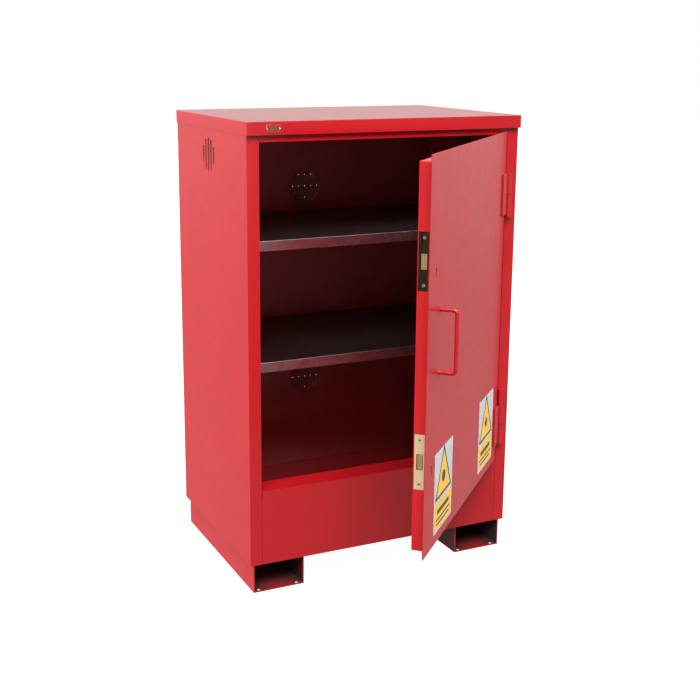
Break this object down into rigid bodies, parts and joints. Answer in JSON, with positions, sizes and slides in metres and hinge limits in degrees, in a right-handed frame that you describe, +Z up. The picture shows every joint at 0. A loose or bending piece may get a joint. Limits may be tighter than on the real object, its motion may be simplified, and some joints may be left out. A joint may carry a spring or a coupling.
{
  "type": "flammable storage cabinet",
  "caption": "Red steel flammable-goods storage cabinet: hinged door with deadlocks, shelves, vents, deep spill sump, on hollow skids.",
  "frame": {"origin": "on the floor, at the centre of the rectangle of the skids' outer anchor holes, which is the centre of the body's footprint", "axes": "+X to the right seen from the front, +Y to the back, +Z up; the door is at the front, at -Y"},
  "size_m": [0.8046, 1.0879, 1.266],
  "materials": {
    "red_paint": "semi-gloss red powder coat",
    "galvanised": "galvanised sheet, faint spangle",
    "gauze": "woven stainless gauze, dull",
    "plate_alloy": "satin",
    "bright_steel": "bright zinc plate",
    "lock_steel": "pressed steel",
    "brass": "satin brass",
    "bronze": "dark bronzed",
    "label": "printed vinyl on rigid plate"
  },
  "bodies": {
    "cabinet": {"back_panel": "red_paint", "header_rail": "red_paint", "hinge_lift_stop": "red_paint", "hinge_side_stop": "red_paint", "left_front_upright": "red_paint", "left_rear_upright": "red_paint", "left_side_panel": "red_paint", "left_skid": "red_paint", "left_vent_gauze": "gauze", "lock_side_stop": "red_paint", "lower_back_gauze": "gauze", "lower_bolt_keep": "red_paint", "lower_hinge_pin": "bright_steel", "lower_hinge_socket": "red_paint", "lower_hinge_washer": "brass", "lower_shelf_clips": "galvanised", "nameplate": "plate_alloy", "nameplate_rivets": "bright_steel", "right_front_upright": "red_paint", "right_rear_upright": "red_paint", "right_side_panel": "red_paint", "right_skid": "red_paint", "right_vent_gauze": "gauze", "roof_lid": "red_paint", "sump_fascia": "red_paint", "sump_pan": "red_paint", "upper_back_gauze": "gauze", "upper_bolt_keep": "red_paint", "upper_hinge_pin": "bright_steel", "upper_hinge_socket": "red_paint", "upper_hinge_washer": "brass", "upper_shelf_clips": "galvanised"},
    "door": {"door_skin": "red_paint", "door_tray": "red_paint", "door_brace": "red_paint", "pull_handle": "red_paint", "upper_hinge_leaf": "red_paint", "lower_hinge_leaf": "red_paint", "outer_label_plate": "label", "inner_label_plate": "label", "faceplate_screws": "bright_steel", "upper_lock_case": "lock_steel", "lower_lock_case": "lock_steel", "upper_lock_cap": "lock_steel", "lower_lock_cap": "lock_steel", "upper_lock_faceplate": "bronze", "lower_lock_faceplate": "brass", "upper_lever_pack": "brass", "lower_lever_pack": "brass"},
    "upper_deadbolt": {"upper_deadbolt": "brass"},
    "lower_deadbolt": {"lower_deadbolt": "brass"},
    "upper_curtain": {"upper_lock_curtain": "brass"},
    "lower_curtain": {"lower_lock_curtain": "brass"},
    "upper_shelf": {"upper_shelf": "galvanised"},
    "lower_shelf": {"lower_shelf": "galvanised"}
  },
  "joints": [
    {"name": "door_swing", "type": "hinge", "parent": "cabinet", "child": "door", "pos_m": [0.371, -0.285, 0.715], "axis": [0, 0, 1], "range_deg": [-44.2, 125.8]},
    {"name": "upper_bolt_slide", "type": "slide", "parent": "door", "child": "upper_deadbolt", "axis": [-0.7169, -0.6972, 0], "range_m": [0, 0.014]},
    {"name": "upper_key_turn", "type": "hinge", "parent": "door", "child": "upper_curtain", "pos_m": [-0.15146, -0.75611, 0.9575], "axis": [-0.6972, 0.7169, 0], "range_deg": [0, 270.01]},
    {"name": "lower_bolt_slide", "type": "slide", "parent": "door", "child": "lower_deadbolt", "axis": [-0.7169, -0.6972, 0], "range_m": [0, 0.014]},
    {"name": "lower_key_turn", "type": "hinge", "parent": "door", "child": "lower_curtain", "pos_m": [-0.15146, -0.75611, 0.4875], "axis": [-0.6972, 0.7169, 0], "range_deg": [0, 270.01]},
    {"name": "upper_shelf_lift", "type": "slide", "parent": "cabinet", "child": "upper_shelf", "axis": [0, 0, 1], "range_m": [0, 0.025]},
    {"name": "lower_shelf_lift", "type": "slide", "parent": "cabinet", "child": "lower_shelf", "axis": [0, 0, 1], "range_m": [0, 0.025]}
  ],
  "couplings": [
    {"joint": "upper_key_turn", "follows": "upper_bolt_slide", "rad_per_m": 336.6},
    {"joint": "lower_key_turn", "follows": "lower_bolt_slide", "rad_per_m": 336.6}
  ]
}
